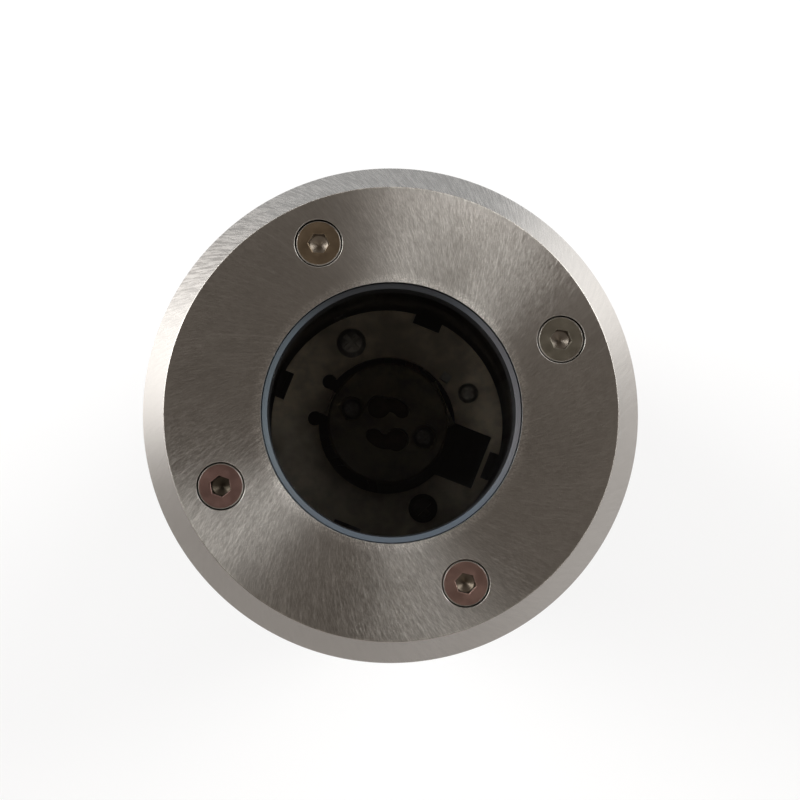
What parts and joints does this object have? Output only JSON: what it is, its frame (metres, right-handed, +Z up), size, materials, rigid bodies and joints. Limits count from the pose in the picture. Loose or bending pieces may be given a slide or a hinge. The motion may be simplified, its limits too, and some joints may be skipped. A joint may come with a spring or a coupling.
{
  "type": "in-ground well light",
  "caption": "Round in-ground well light with a bevelled stainless cover, glass window, hex socket screws, cast housing, lampholder and ground sleeve.",
  "frame": {"origin": "centre of the sleeve's foot, on the surface it stands on", "axes": "+Z up along the well to the cover; +X and +Y to the right and up the picture"},
  "size_m": [0.124, 0.124, 0.1615],
  "materials": {
    "stainless_cover": "brushed, marine grade stainless",
    "stainless_screw": "turned stainless",
    "clear_glass": "clear toughened",
    "silicone_seal": "blue-grey silicone",
    "black_rubber": "matt",
    "cast_alloy": "dark powder coat on die-cast alloy",
    "plated_steel": "zinc plated, yellow passivated",
    "plated_screw": "zinc plated",
    "ceramic_body": "unglazed steatite ceramic",
    "contact_metal": "nickel-plated brass",
    "terminal_plastic": "natural polyamide",
    "brass_insert": "machined",
    "lead_brown": "silicone sleeve",
    "lead_blue": "silicone sleeve",
    "lead_green": "silicone sleeve",
    "gland_plastic": "moulded polyamide",
    "sleeve_plastic": "moulded black polypropylene"
  },
  "bodies": {
    "well": {"mounting_sleeve": "sleeve_plastic"},
    "light_unit": {"housing": "cast_alloy", "mounting_plate": "plated_steel", "plate_screws": "plated_screw", "lampholder_cap": "ceramic_body", "lampholder_base": "ceramic_body", "lampholder_contacts": "contact_metal", "lampholder_screws": "plated_screw", "lampholder_nuts": "plated_screw", "earth_tag": "contact_metal", "earth_screw": "plated_screw", "earth_nut": "plated_screw", "terminal_block": "terminal_plastic", "terminal_inserts": "brass_insert", "terminal_screws": "plated_screw", "block_screws": "plated_screw", "lamp_lead_live": "lead_brown", "lamp_lead_neutral": "lead_blue", "earth_lead": "lead_green", "gland_body": "gland_plastic", "gland_washer": "black_rubber", "gland_seal": "black_rubber", "blanking_plug": "gland_plastic", "plug_washer": "black_rubber"},
    "cover_unit": {"face_plate": "stainless_cover", "lens_glass": "clear_glass", "lens_gasket": "silicone_seal"},
    "gland_nut": {"gland_nut": "gland_plastic"},
    "cover_screw_1": {"cover_screw_1": "stainless_screw"},
    "cover_screw_2": {"cover_screw_2": "stainless_screw"},
    "cover_screw_3": {"cover_screw_3": "stainless_screw"},
    "cover_screw_4": {"cover_screw_4": "stainless_screw"}
  },
  "joints": [
    {"name": "light_lift", "type": "slide", "parent": "well", "child": "light_unit", "axis": [0, 0, 1], "range_m": [0, 0.135]},
    {"name": "cover_lift", "type": "slide", "parent": "light_unit", "child": "cover_unit", "axis": [0, 0, 1], "range_m": [0, 0.06]},
    {"name": "gland_nut_turn", "type": "hinge", "parent": "light_unit", "child": "gland_nut", "pos_m": [-0.01272, -0.0188, 0.028], "axis": [0, 0, 1], "continuous": true},
    {"name": "cover_screw_1_turn", "type": "hinge", "parent": "cover_unit", "child": "cover_screw_1", "pos_m": [0.03726, 0.01612, 0.1613], "axis": [0, 0, 1], "continuous": true},
    {"name": "cover_screw_2_turn", "type": "hinge", "parent": "cover_unit", "child": "cover_screw_2", "pos_m": [-0.01612, 0.03726, 0.1613], "axis": [0, 0, 1], "continuous": true},
    {"name": "cover_screw_3_turn", "type": "hinge", "parent": "cover_unit", "child": "cover_screw_3", "pos_m": [-0.03726, -0.01612, 0.1613], "axis": [0, 0, 1], "continuous": true},
    {"name": "cover_screw_4_turn", "type": "hinge", "parent": "cover_unit", "child": "cover_screw_4", "pos_m": [0.01612, -0.03726, 0.1613], "axis": [0, 0, 1], "continuous": true}
  ]
}
